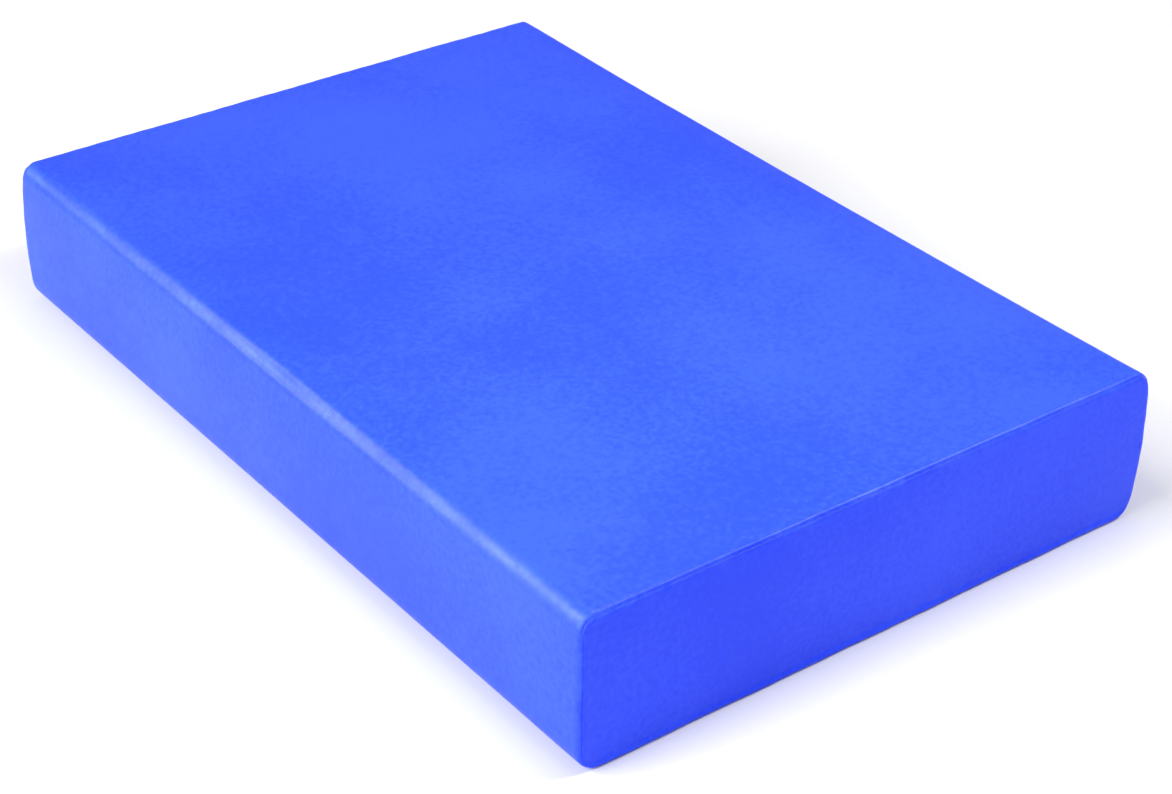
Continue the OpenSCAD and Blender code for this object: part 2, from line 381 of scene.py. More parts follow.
def mesh_points(mesh):
    """A mesh's points as an array."""
    flat = np.zeros(len(mesh.vertices) * 3)
    mesh.vertices.foreach_get("co", flat)
    return flat.reshape(-1, 3)


swell_tree, swell_moves = simulated_swell()


def swell(points, normals):
    """How far the cover stands out from its seams at each point, from the simulation."""
    if swell_tree is None:
        return full_swell * plain_swell(points)
    reach = 5 * MM
    out = np.zeros(len(points))
    for i, (point, normal) in enumerate(zip(points, normals)):
        found = swell_tree.find_n(point, 8)
        weight = np.array([math.exp(-((d / reach) ** 2)) for _, _, d in found]) + 1e-9
        move = weight @ swell_moves[[k for _, k, _ in found]] / weight.sum()
        out[i] = move @ normal
    return out


def stand_off(points, normals):
    """How far the cover lies outside the plain pad at each point."""
    x, y, z = points.T
    nx, ny, nz = normals.T
    full = swell(points, normals) / full_swell
    sides = np.abs(nx) + np.abs(ny)
    belly = np.abs(2 * z / height - 1) ** 2.5
    off = (side_swell * full - side_inset - side_taper * belly) * sides
    off += (top_swell * full - top_inset) * np.clip(nz, 0, 1)
    fold = np.hypot(half_w - np.abs(x), height - z)
    off -= fold_hollow * (1 - np.clip(y / half_l, -1, 1) ** 2) * np.exp(-((fold / hollow_reach) ** 2))
    off += long_wave * waves(points, 90 * MM, 11) + short_wave * waves(points, 28 * MM, 12)
    off -= puckers(points)
    # The zip holds the fabric flat beside it
    at_zip = np.exp(-(((z - zip_z) / (13 * MM)) ** 2)) * np.clip(nx, 0, 1) * (x > 0)
    off *= 1 - at_zip * np.clip((straight - np.abs(y)) / (8 * MM), 0, 1)
    # The underside rests flat
    return off * (1 + np.minimum(nz, 0))


# --- Panels ---

def marched(a, b, features, finest, coarsest):
    """Places from a to b, close together near the features, which are (from, to, step there)."""
    places = [a]
    while places[-1] < b:
        here = places[-1]
        step = coarsest
        for lo, hi, there in features:
            away = max(lo - here, here - hi, 0)
            step = min(step, there + 0.3 * away)
        places.append(here + max(step, finest))
    places = np.array(places)
    return a + (places - a) * (b - a) / (places[-1] - a)


lip_turns = np.radians([0, 15, 30, 45, 60, 75, 90])


def lip_depth(q):
    """How far the fabric has turned in at distance q before a seam."""
    left = np.clip(lip_r - q, 0, lip_r)
    return lip_r - np.sqrt(np.maximum(lip_r**2 - left**2, 0))


def seam_rows(inwards):
    """Distances before a seam and depths past it of the rows that turn in there, from the flange outwards."""
    before = [0, 0, 0] + [lip_r * (1 - math.cos(a)) for a in lip_turns[1:]]
    past = [flange, flange / 2, 0] + [0] * (len(lip_turns) - 1)
    pairs = list(zip(before, past))
    return pairs if inwards else pairs[::-1]


def strip_stations(a, b, features, sewn_a, sewn_b, finest, coarsest):
    """Stations across a panel: place, depth past a seam, and distance to the nearest sewn side."""
    body_a = a + lip_r * 1.4 if sewn_a else a
    body_b = b - lip_r * 1.4 if sewn_b else b
    body = marched(body_a, body_b, features, finest, coarsest)
    place = list(body)
    past = [0] * len(body)
    if sewn_a:
        rows = seam_rows(True)
        place = [a + before for before, _ in rows] + place
        past = [p for _, p in rows] + past
    if sewn_b:
        rows = seam_rows(False)
        place += [b - before for before, _ in rows]
        past += [p for _, p in rows]
    place = np.array(place)
    away = np.full(len(place), 1.0)
    if sewn_a:
        away = np.minimum(away, place - a)
    if sewn_b:
        away = np.minimum(away, b - place)
    return place, np.array(past), away


def lay(points, normals, depth):
    """The plain pad's points moved to where the fabric lies, that deep under the cover's surface."""
    off = stand_off(points, normals) - depth
    laid = points + off[:, None] * normals
    laid[:, 2] = np.maximum(laid[:, 2], 0.02 * MM)
    return laid


def drift(plain, away):
    """Moves of points along the pad, where an end seam at that distance wanders from its straight line."""
    x, y, z = plain.T
    shift = seam_wander * wander(x + 2 * z + np.sign(y) * 50 * MM, 16 * MM, 21)
    return np.sign(y) * shift * np.exp(-away / (9 * MM))


def wear_and_highlight_of(points):
    """Handling wear and a painted highlight, from 0 to 1: strongest on the top and upright edges and in
    patches.
    """
    # The lighter colour this mask gives the edges is partly rubbed wear and partly a painted highlight where
    # light catches them.
    x, y, z = points.T
    from_end = half_l - np.abs(y)
    from_side = half_w - np.abs(x)
    from_top = height - z
    edge = np.minimum(np.hypot(from_end, from_top) + 1.5 * MM, np.hypot(from_side, from_top))
    upright = np.hypot(from_end, from_side) + 4 * MM
    away = np.clip(np.minimum(edge, upright) - 3 * MM, 0, None)
    return np.exp(-away / (3.5 * MM)) * np.clip(0.7 + 0.3 * waves(points, 30 * MM, 31), 0, 1)


def finish_panel(obj, plain, node):
    """Gives a panel its wear and painted-highlight values, thickness, body and CAD node."""
    # These values mark both handling wear and a painted highlight along the top and upright edges.
    values = obj.data.attributes.new("wear_and_highlight", "FLOAT", "POINT")
    values.data.foreach_set("value", wear_and_highlight_of(plain).astype(np.float32))
    solid = obj.modifiers.new("fabric", "SOLIDIFY")
    solid.thickness = skin * 0.93
    solid.offset = -1
    return fitted(obj, cover_fabric, "pad", "cover", node)


def strip_panel(name, node, s_from, s_to):
    """A panel along the pad, from s_from to s_to round it, hemmed beside the zip and sewn elsewhere."""
    hem_first = s_from == 0
    hem_last = s_to == around
    finest = 0.45 * MM
    s, s_past, s_away = strip_stations(
        s_from, s_to, section_features, not hem_first, not hem_last, finest, 2.8 * MM)
    t, t_past, t_away = strip_stations(
        seam_gap - end_t, end_t - seam_gap, end_features, True, True, finest, 2.6 * MM)
    ss, tt = (a.ravel() for a in np.meshgrid(s, t, indexing="ij"))
    s_depth, t_depth = np.meshgrid(lip_depth(s_away) + s_past, lip_depth(t_away) + t_past, indexing="ij")
    plain, normals = outside(ss, tt)
    laid = lay(plain, normals, np.maximum(s_depth, t_depth).ravel())
    laid[:, 1] += drift(plain, end_t - np.abs(tt))
    laid = laid.reshape(len(s), len(t), 3)
    plain = plain.reshape(len(s), len(t), 3)
    if hem_first:
        laid, plain = hemmed(laid, plain, s, 1)
    if hem_last:
        laid, plain = (a[::-1] for a in hemmed(laid[::-1], plain[::-1], around - s[::-1], -1))
    obj = new_mesh(name, laid.reshape(-1, 3), grid_faces(*laid.shape[:2]))
    return finish_panel(obj, plain.reshape(-1, 3), node)


def window_edge(y):
    """Half the gap between the folded edges beside the zip, at y."""
    closing = np.clip((np.abs(y) - (tack_y - 10 * MM)) / (8 * MM), 0, 1)
    closing = closing * closing * (3 - 2 * closing)
    return window_half * (1 - closing) + seam_gap * closing


def hemmed(laid, plain, from_zip, sign):
    """Moves a side panel's rows, the first beside the zip, off the zip and adds the fold there.
    from_zip is each row's distance round from the zip line, and sign is 1 above the zip and -1 below it."""
    reach = 26 * MM
    y = laid[0, :, 1]
    near = np.clip(1 - from_zip / reach, 0, 1)[:, None]
    # Towards the end seams the fold's roundness and its underlap die away
    fold = 0.12 + 0.88 * np.clip((straight - 1 * MM - np.abs(y)) / (5 * MM), 0, 1)
    laid[:, :, 2] += sign * (window_edge(y) + hem_r * fold) * near
    laid[:, :, 0] -= stitch_dent(sign * (laid[:, :, 2] - zip_z), y) * (near > 0)
    added = []
    for part in (4, 3, 2, 1):
        row = laid[0].copy()
        row[:, 0] -= 2 * hem_r
        row[:, 2] += sign * hem_under * part / 4 * fold
        added.append(row)
    for angle in np.radians([180, 150, 120, 90, 60, 30]):
        row = laid[0].copy()
        row[:, 0] -= hem_r * (1 - math.cos(angle))
        row[:, 2] -= sign * hem_r * math.sin(angle) * fold
        added.append(row)
    return (np.concatenate([np.array(added), laid]),
            np.concatenate([np.repeat(plain[:1], len(added), 0), plain]))


def stitch_dent(from_zip, y):
    """How far the row of stitches beside the zip pulls the fabric in."""
    along = np.clip((tack_y - 2 * MM - np.abs(y)) / (4 * MM), 0, 1)
    return 0.22 * MM * np.exp(-(((from_zip - stitch_row) / (0.9 * MM)) ** 2)) * along


def end_panel(name, node, side):
    """The panel that closes one end of the pad, sewn all round. side is -1 at the front and 1 at the back."""
    runs = loop_stations(2.4 * MM)
    s = np.concatenate([run[:-1] for run in runs])
    pairs = seam_rows(True)
    arc_left = seam_r * (math.pi / 2 - seam_angle)
    body = np.linspace(lip_r * 1.4, arc_left, 8)
    before = np.array([b for b, _ in pairs] + list(body)) + seam_gap
    before[-1] = arc_left
    past = np.array([p for _, p in pairs] + [0] * len(body))
    qq, ss = (a.ravel() for a in np.meshgrid(before, s, indexing="ij"))
    plain, normals = outside(ss, side * (end_t + qq))
    rim = plain[-len(s):]
    bounds = np.cumsum([0] + [len(run) - 1 for run in runs])
    inner, quads = end_face([rim[np.arange(a, b + 1) % len(s)] for a, b in zip(bounds[:-1], bounds[1:])])
    first_rim = len(plain) - len(s)
    faces = np.concatenate([grid_faces(len(before), len(s), closed=True), quads + first_rim])
    plain = np.concatenate([plain, inner])
    normals = np.concatenate([normals, np.tile([0.0, side, 0.0], (len(inner), 1))])
    depth = np.concatenate([np.repeat(lip_depth(before) + past, len(s)), np.zeros(len(inner))])
    inwards = np.minimum(half_w - seam_r - np.abs(inner[:, 0]),
                         height / 2 - seam_r - np.abs(inner[:, 2] - height / 2))
    away = np.concatenate([qq, arc_left + np.clip(inwards, 0, None)])
    laid = lay(plain, normals, depth)
    laid[:, 1] += drift(plain, away)
    obj = new_mesh(name, laid, faces if side < 0 else faces[:, ::-1])
    return finish_panel(obj, plain, node)


end_features = [(-end_t, -end_t, 0.5 * MM), (end_t, end_t, 0.5 * MM)]
end_features += [(-tack_y, 10 * MM - tack_y, 0.9 * MM), (tack_y - 10 * MM, tack_y, 0.9 * MM)]
section_features = [(leg_start[i], leg_start[i + 1], 1.1 * MM) for i in (1, 3)]
section_features += [(s, s, 0.5 * MM) for s in (left_seam_s, right_seam_s)]
section_features += [(0, 5 * MM, 0.5 * MM), (around - 5 * MM, around, 0.5 * MM)]


def fitted(obj, material, body, slot, *nodes):
    """Gives a piece its material and the body it rides on, and hides the CAD nodes it stands for; slot is not
    used.
    """
    obj.data.materials.clear()
    obj.data.materials.append(material)
    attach(obj, body)
    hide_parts(*nodes)
    return obj


# --- Materials ---

class Shader:
    """A material's node tree, with short calls to add nodes to it."""

    def __init__(self, name, **sockets):
        self.material = bpy.data.materials.new(name)
        self.material.use_nodes = True
        self.tree = self.material.node_tree
        self.surface = self.tree.nodes["Principled BSDF"]
        self.place = self.node("ShaderNodeTexCoord").outputs["Object"]
        for socket, value in sockets.items():
            self.surface.inputs[socket.replace("_", " ")].default_value = value

    def node(self, kind, settings=(), **inputs):
        """A new node, with its settings as pairs and its inputs as values or sockets to link."""
        made = self.tree.nodes.new(kind)
        for key, value in settings:
            setattr(made, key, value)
        for key, value in inputs.items():
            socket = made.inputs[key.replace("_", " ")]
            if isinstance(value, bpy.types.NodeSocket):
                self.tree.links.new(value, socket)
            else:
                socket.default_value = value
        return made

    def noise(self, scale, detail=2.0, roughness=0.5):
        """Noise from 0 to 1, with scale waves to a metre."""
        inputs = {"Scale": scale, "Detail": detail, "Roughness": roughness}
        return self.node("ShaderNodeTexNoise", Vector=self.place, **inputs).outputs["Fac"]

    def bands(self, axis, scale):
        """Sine bands from 0 to 1 across an axis, with scale bands to a metre."""
        settings = (("wave_type", "BANDS"), ("bands_direction", axis), ("wave_profile", "SIN"))
        made = self.node("ShaderNodeTexWave", settings, Vector=self.place, Scale=scale * math.pi / 10)
        return made.outputs["Fac"]

    def maths(self, operation, a, b):
        """One sum of two values or sockets."""
        made = self.tree.nodes.new("ShaderNodeMath")
        made.operation = operation
        for socket, value in zip(made.inputs, (a, b)):
            if isinstance(value, bpy.types.NodeSocket):
                self.tree.links.new(value, socket)
            else:
                socket.default_value = value
        return made.outputs[0]

    def spread(self, value, low, high, start=0.0, end=1.0):
        """A value from start to end, mapped to low to high."""
        settings = (("interpolation_type", "SMOOTHSTEP"),)
        made = self.node("ShaderNodeMapRange", settings, Value=value, From_Min=start, From_Max=end)
        made.inputs["To Min"].default_value = low
        made.inputs["To Max"].default_value = high
        return made.outputs["Result"]

    def mixed(self, factor, first, second):
        """A colour between two colours."""
        made = self.node("ShaderNodeMix", (("data_type", "RGBA"),))
        self.tree.links.new(factor, made.inputs[0])
        for socket, value in ((made.inputs[6], first), (made.inputs[7], second)):
            if isinstance(value, bpy.types.NodeSocket):
                self.tree.links.new(value, socket)
            else:
                socket.default_value = (*value, 1)
        return made.outputs[2]

    def bump(self, value, distance, strength=1.0, below=None):
        """A bump of that depth in metres, over another one if given."""
        made = self.node("ShaderNodeBump", Height=value, Distance=distance, Strength=strength)
        if below:
            self.tree.links.new(below, made.inputs["Normal"])
        return made.outputs["Normal"]

    def weave(self, threads):
        """A plain weave's height from 0 to 1 on faces of any direction, with threads to a metre."""
        total = self.maths("ADD", self.bands("X", threads), self.bands("Y", threads))
        return self.maths("DIVIDE", self.maths("ADD", total, self.bands("Z", threads)), 3.0)

    def done(self, colour, roughness, normal):
        """Links the three maps to the surface and returns the material."""
        self.tree.links.new(colour, self.surface.inputs["Base Color"])
        self.tree.links.new(roughness, self.surface.inputs["Roughness"])
        self.tree.links.new(normal, self.surface.inputs["Normal"])
        return self.material


def coated_fabric():
    """Blue coated cover fabric: soft sheen, faint mottling, a weave that shows through, and edges painted
    lighter, partly as rubbed wear and partly as a painted highlight.
    """
    m = Shader("cover_fabric", IOR=1.45, Specular_IOR_Level=0.2)
    wear_and_highlight = m.node("ShaderNodeAttribute", (("attribute_name", "wear_and_highlight"),)).outputs["Fac"]
    mottle = m.spread(m.maths("ADD", m.noise(9, 2.0), m.noise(380, 3.0, 0.6)), 0, 1, 0.75, 1.25)
    cloudy = m.mixed(mottle, (0.016, 0.054, 0.92), (0.028, 0.079, 0.99))
    # Lighter colour on the top and upright edges: partly rubbed wear, partly a painted highlight.
    rub_and_highlight = m.spread(m.maths("MULTIPLY", wear_and_highlight, m.noise(260, 4.0)), 0, 0.7, 0.1, 0.6)
    colour = m.mixed(rub_and_highlight, cloudy, (0.055, 0.125, 0.95))
    grain = m.noise(1100, 3.0, 0.6)
    fine = m.maths("ADD", m.spread(m.noise(90, 4.0), -0.05, 0.05), m.spread(grain, -0.03, 0.03))
    roughness = m.maths("SUBTRACT", m.maths("ADD", fine, 0.38), m.maths("MULTIPLY", wear_and_highlight, 0.06))
    weave = m.bump(m.weave(1500), 0.00003, 0.6)
    normal = m.bump(grain, 0.00004, 0.7, m.bump(m.noise(45, 2.0), 0.0002, 0.4, weave))
    return m.done(colour, roughness, normal)


def open_foam():
    """Pale grey-cream foam with open cells."""
    m = Shader("open_foam")
    cells = m.node("ShaderNodeTexVoronoi", Vector=m.place, Scale=1400.0).outputs["Distance"]
    colour = m.mixed(m.noise(120, 4.0), (0.50, 0.47, 0.38), (0.66, 0.63, 0.53))
    roughness = m.spread(cells, 0.85, 1.0)
    return m.done(colour, roughness, m.bump(cells, 0.0004, 0.8))


def spun_thread():
    """Blue polyester thread, with the twist of its strands."""
    m = Shader("spun_thread", Sheen_Weight=0.3)
    twist = m.bands("DIAGONAL", 3200)
    colour = m.mixed(twist, (0.018, 0.04, 0.42), (0.04, 0.09, 0.72))
    return m.done(colour, m.spread(m.noise(900), 0.45, 0.65), m.bump(twist, 0.00008, 0.7))


def woven_tape():
    """Dark blue zip tape with a herringbone weave."""
    m = Shader("woven_tape", Sheen_Weight=0.25)
    place = m.node("ShaderNodeSeparateXYZ", Vector=m.place)
    fold = m.maths("PINGPONG", place.outputs["Z"], 0.0012)
    slant = m.maths("ADD", fold, place.outputs["Y"])
    rib = m.maths("SINE", m.maths("MULTIPLY", slant, 2 * math.pi / 0.0007), 0.0)
    rib = m.spread(rib, 0, 1, -1.0, 1.0)
    colour = m.mixed(rib, (0.012, 0.03, 0.26), (0.03, 0.065, 0.50))
    return m.done(colour, m.spread(m.noise(500), 0.65, 0.85), m.bump(rib, 0.00012, 0.9))


def nylon_coil():
    """Glossy dark blue nylon monofilament."""
    m = Shader("nylon_coil", IOR=1.53)
    colour = m.mixed(m.noise(700), (0.014, 0.035, 0.34), (0.03, 0.07, 0.52))
    return m.done(colour, m.spread(m.noise(350), 0.24, 0.42), m.bump(m.noise(2500), 0.00003, 0.5))


def worn_nickel():
    """Nickel-plated zinc with fine scratches and duller, darker patches."""
    m = Shader("worn_nickel", Metallic=1.0)
    patches = m.spread(m.noise(240, 4.0), 0, 1, 0.35, 0.7)
    scratch = m.node("ShaderNodeMapping", Vector=m.place, Scale=(600.0, 500.0, 6000.0))
    lines = m.node("ShaderNodeTexNoise", Vector=scratch.outputs[0], Scale=1.0, Detail=3.0).outputs["Fac"]
    colour = m.mixed(patches, (0.50, 0.50, 0.49), (0.66, 0.66, 0.65))
    roughness = m.maths("ADD", m.spread(patches, 0.34, 0.22), m.maths("MULTIPLY", lines, 0.12))
    return m.done(colour, roughness, m.bump(lines, 0.00002, 0.6, m.bump(m.noise(900), 0.00003, 0.5)))


cover_fabric = coated_fabric()
foam = open_foam()
thread = spun_thread()
tape_weave = woven_tape()
coil_nylon = nylon_coil()
nickel = worn_nickel()

# --- Cover and foam ---

wrap_panel = strip_panel("wrap_cover", "wrap_panel", 0, left_seam_s - seam_gap)
base_panel = strip_panel("base_cover", "base_panel", left_seam_s + seam_gap, right_seam_s - seam_gap)
side_strip = strip_panel("zip_side_cover", "zip_side_strip", right_seam_s + seam_gap, around)
front_end = end_panel("front_end_cover", "front_end_panel", -1)
rear_end = end_panel("rear_end_cover", "rear_end_panel", 1)

foam_inset = 5 * MM
core = closed_block("foam_block", foam_inset, 8 * MM)
fitted(core, foam, "pad", "foam", "foam_core")


# --- Threads, zip and slider ---

def tube(path, across, along=None, sides=8, guide=(0.0, 0.0, 1.0)):
    """Points and faces of a tube with narrowed ends along a path. Its section is an ellipse, whose half
    width is across towards the guide direction, and along the other way."""
    along = across if along is None else along
    path = np.asarray(path, float)
    forward = np.gradient(path, axis=0)
    forward /= np.linalg.norm(forward, axis=1, keepdims=True)
    guide = np.broadcast_to(guide, path.shape)
    first = guide - (guide * forward).sum(1, keepdims=True) * forward
    first /= np.linalg.norm(first, axis=1, keepdims=True)
    second = np.cross(forward, first)
    angle = np.linspace(0, 2 * math.pi, sides, endpoint=False)[None, :, None]
    size = np.ones(len(path))
    size[[0, -1]] = 0.45
    size = size[:, None, None]
    round_it = across * np.cos(angle) * first[:, None] + along * np.sin(angle) * second[:, None]
    rings = path[:, None] + size * round_it
    faces = grid_faces(len(path), sides, closed=True)[:, ::-1].tolist()
    last = (len(path) - 1) * sides
    faces.append(list(range(sides)))
    faces.append(list(range(last + sides - 1, last - 1, -1)))
    return rings.reshape(-1, 3), faces


def joined(name, parts):
    """One mesh object of several (points, faces)."""
    points = []
    faces = []
    count = 0
    for some, quads in parts:
        points.append(some)
        faces += [[i + count for i in f] for f in quads]
        count += len(some)
    return new_mesh(name, np.concatenate(points), faces)


def end_seam_path(side):
    """The line behind an end seam where its thread runs."""
    s = np.linspace(0, around, 400)
    p, n = outside(s, np.full(len(s), side * end_t))
    return p - (lip_r + flange * 0.75) * n


def thread_piece(name, node, paths):
    """Seam thread along paths, swinging from side to side as its stitches do."""
    parts = []
    for path in paths:
        steps = np.linalg.norm(np.diff(path, axis=0), axis=1)
        length = np.concatenate([[0], np.cumsum(steps)])
        at = np.arange(0, length[-1], 0.8 * MM)
        line = np.stack([np.interp(at, length, path[:, i]) for i in range(3)], 1)
        line += (0.2 * MM * np.sin(at * 2 * math.pi / (6.4 * MM)))[:, None] * np.array([0.6, 0.6, 0.5])
        parts.append(tube(line, 0.15 * MM, sides=6, guide=(0.3, 0.2, 0.93)))
    return fitted(joined(name, parts), thread, "pad", "thread", node)


def base_seam_path(s):
    """The line behind a long base seam where its thread runs."""
    t = np.linspace(-straight, straight, 300)
    p, n = outside(np.full(len(t), s), t)
    return p - (lip_r + flange * 0.75) * n


thread_piece("front_seam_stitching", "front_seam_thread", [end_seam_path(-1)])
thread_piece("rear_seam_stitching", "rear_seam_thread", [end_seam_path(1)])
thread_piece("base_seam_stitching", "base_seam_threads",
             [base_seam_path(left_seam_s), base_seam_path(right_seam_s)])


def tape(name, node, sign):
    """One zip tape: a flat woven band, thicker along the edge that carries the coil."""
    lo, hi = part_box(node)
    near = zip_z + sign * 0.24 * MM
    far = zip_z + sign * (max(abs(lo.z - zip_z), abs(hi.z - zip_z)))
    y = np.linspace(lo.y, hi.y, 160)
    width = far - near
    across = np.array([0, 0.02, 0.06, 0.12, 0.2, 0.35, 0.5, 0.65, 0.8, 0.92, 0.97, 1.0])
    rib = 0.12 * MM * np.exp(-((across - 0.95) / 0.03) ** 2)
    edge = 0.5 * (hi.x - lo.x) * (1 - np.minimum(1, 20 * np.minimum(across, 1 - across) + 0.35))
    outer = hi.x - edge
    inner = lo.x + edge - rib
    ring_x = np.concatenate([outer, inner[::-1]])
    ring_z = near + width * np.concatenate([across, across[::-1]])
    sway = 0.12 * MM * wander(y, 45 * MM, 41)
    ring = np.stack([
        np.broadcast_to(ring_x, (len(y), len(ring_x))),
        np.broadcast_to(y[:, None], (len(y), len(ring_x))),
        ring_z[None] + sway[:, None] * (ring_z[None] - near) / width,
    ], -1)
    count = len(ring_x)
    faces = grid_faces(len(y), count, closed=True)
    faces = (faces if sign < 0 else faces[:, ::-1]).tolist()
    last = (len(y) - 1) * count
    ends = [list(range(count)), list(range(last + count - 1, last - 1, -1))]
    faces += ends if sign > 0 else [e[::-1] for e in ends]
    obj = new_mesh(name, ring.reshape(-1, 3), faces)
    return fitted(obj, tape_weave, "pad", "zip_tape", node)


tape("upper_tape", "zip_tape_upper", 1)
tape("lower_tape", "zip_tape_lower", -1)

coil_pitch = 1.8 * MM
wire_r = 0.38 * MM


def coil(name, node, sign):
    """One coil: a nylon wire wound in flat turns, whose heads reach between the other coil's turns."""
    lo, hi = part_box(node)
    head = 0.28 * MM
    back = max(abs(lo.z - zip_z), abs(hi.z - zip_z))
    turns = round((hi.y - lo.y) / coil_pitch)
    angle = np.linspace(0, 2 * math.pi * turns, turns * 14 + 1)
    # The wire moves on to the next turn only at the back, so the front strands are straight
    part = np.clip((np.mod(angle, 2 * math.pi) - 0.62 * math.pi) / (0.76 * math.pi), 0, 1)
    advance = np.floor(angle / (2 * math.pi) + 1e-9) + part * part * (3 - 2 * part)
    start = lo.y + coil_pitch / 4
    half_depth = (hi.x - lo.x) / 2 - wire_r
    half_width = (back + head) / 2 - wire_r
    middle = (back - head) / 2
    flat = np.sign(np.sin(angle)) * np.abs(np.sin(angle)) ** 0.7
    path = np.stack([
        (lo.x + hi.x) / 2 + half_depth * flat,
        start + coil_pitch * advance,
        zip_z + sign * (middle - half_width * np.cos(angle)),
    ], 1)
    wire = tube(path, wire_r, sides=6, guide=(0, 1, 0))
    return fitted(joined(name, [wire]), coil_nylon, "pad", "zip_coil", node)


coil("upper_coil", "zip_coil_upper", 1)
coil("lower_coil", "zip_coil_lower", -1)


def stitch_rows(name, node, sign):
    """The row of topstitches on one side of the zip, each sunk into the fabric at its ends."""
    lo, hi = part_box(node)
    pitch = 4 * MM
    half = 1.5 * MM
    count = round((hi.y - lo.y - 2 * half) / pitch)
    middle_y = np.linspace(lo.y + half, hi.y - half, count + 1)
    beside = zip_z + sign * 1.3 * MM
    place = np.stack([np.full(len(middle_y), half_w), middle_y, np.full(len(middle_y), beside)], 1)
    out = stand_off(place, np.tile([1.0, 0, 0], (len(place), 1))) - stitch_dent(stitch_row, middle_y)
    rising = [(-1.18, -0.5), (-1.08, -0.06), (-0.8, 0.1), (-0.3, 0.17)]
    shape = rising + [(-a, h) for a, h in rising[::-1]]
    parts = []
    for y, rise in zip(middle_y, out):
        path = [(half_w + rise + h * MM, y + a * half, zip_z + sign * stitch_row) for a, h in shape]
        parts.append(tube(path, 0.2 * MM, sides=6))
    return fitted(joined(name, parts), thread, "pad", "thread", node)


stitch_rows("upper_topstitching", "zip_stitches_upper", 1)
stitch_rows("lower_topstitching", "zip_stitches_lower", -1)


def bar_tacks():
    """A dense zigzag of thread across each end of the zip's opening."""
    lo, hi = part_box("zip_bar_tacks")
    passes = 34
    parts = []
    for side in (-1, 1):
        z = np.linspace(lo.z, hi.z, passes * 4 + 1)
        swing = np.interp(np.arange(len(z)) % 8, [0, 1, 3, 4, 5, 7, 8], [0, 1, 1, 0, -1, -1, 0])
        y = side * (hi.y - 1.2 * MM) + swing * 1.1 * MM
        x = half_w + 0.12 * MM - 0.16 * MM * np.abs(swing)
        parts.append(tube(np.stack([x, y, z], 1), 0.19 * MM, sides=6, guide=(1, 0, 0)))
    return fitted(joined("bar_tack_stitching", parts), thread, "pad", "thread", "zip_bar_tacks")


bar_tacks()


def circle(y, z, r, steps=24):
    """Points of a circle in (y, z)."""
    a = np.linspace(0, 2 * math.pi, steps, endpoint=False)
    return [(y + r * math.cos(b), z + r * math.sin(b)) for b in a]


def rounded(corners, r, steps=4):
    """An outline in (y, z) with its corners rounded to radius r."""
    points = []
    for i, corner in enumerate(corners):
        here = Vector(corner)
        to_last = (Vector(corners[i - 1]) - here).normalized()
        to_next = (Vector(corners[(i + 1) % len(corners)]) - here).normalized()
        half = to_last.angle(to_next) / 2
        cut = r / math.tan(half)
        middle = here + (to_last + to_next).normalized() * (r / math.sin(half))
        a = here + to_last * cut - middle
        b = here + to_next * cut - middle
        for k in range(steps + 1):
            way = a.lerp(b, k / steps)
            points.append(tuple(middle + way.normalized() * r))
    return points


def plate(outlines, x0, x1, edge):
    """Points and faces of a flat plate from x0 to x1 with rounded edges. Outlines and holes are in (y, z)."""
    curve = bpy.data.curves.new("plate", "CURVE")
    curve.dimensions = "2D"
    curve.fill_mode = "BOTH"
    curve.extrude = abs(x1 - x0) / 2 - edge
    curve.bevel_depth = edge
    curve.bevel_resolution = 2
    curve.offset = -edge
    for outline in outlines:
        spline = curve.splines.new("POLY")
        spline.points.add(len(outline) - 1)
        for point, (y, z) in zip(spline.points, outline):
            point.co = (y, z, 0, 1)
        spline.use_cyclic_u = True
    obj = bpy.data.objects.new("plate", curve)
    bpy.context.scene.collection.objects.link(obj)
    bpy.context.view_layer.update()
    mesh = bpy.data.meshes.new_from_object(obj.evaluated_get(bpy.context.evaluated_depsgraph_get()))
    points = mesh_points(mesh)[:, [2, 0, 1]] + np.array([(x0 + x1) / 2, 0, 0])
    faces = [list(p.vertices) for p in mesh.polygons]
    bpy.data.objects.remove(obj)
    return points, faces


def metal(name, node, body, parts):
    """A metal piece made of several parts, with even shading on its flat faces."""
    obj = joined(name, parts)
    weld = obj.modifiers.new("weld", "WELD")
    weld.merge_threshold = 0.005 * MM
    obj.data.set_sharp_from_angle(angle=math.radians(50))
    return fitted(obj, nickel, body, "zip_metal", node)


def box_outline(y0, y1, z0, z1, r):
    """A rounded rectangle in (y, z)."""
    return rounded([(y0, z0), (y1, z0), (y1, z1), (y0, z1)], r)


def stops():
    """The clips that end the zip: one on each coil at the closed end, one over both at the other."""
    lo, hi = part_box("zip_top_stops")
    inner = 0.45 * MM
    parts = []
    for z0, z1 in ((lo.z, zip_z - inner), (zip_z + inner, hi.z)):
        parts.append(plate([box_outline(lo.y, hi.y, z0, z1, 0.5 * MM)], tape_x - 0.3 * MM, hi.x, 0.45 * MM))
    metal("top_stop_clips", "zip_top_stops", "pad", parts)
    lo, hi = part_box("zip_bottom_stop")
    clip = plate([box_outline(lo.y, hi.y, lo.z, hi.z, 0.7 * MM)], tape_x - 0.3 * MM, hi.x, 0.5 * MM)
    ridge_path = [(hi.x - 0.05 * MM, lo.y + a * (hi.y - lo.y), zip_z) for a in (0.12, 0.3, 0.7, 0.88)]
    metal("bottom_stop_clip", "zip_bottom_stop", "pad", [clip, tube(ridge_path, 0.25 * MM)])


stops()


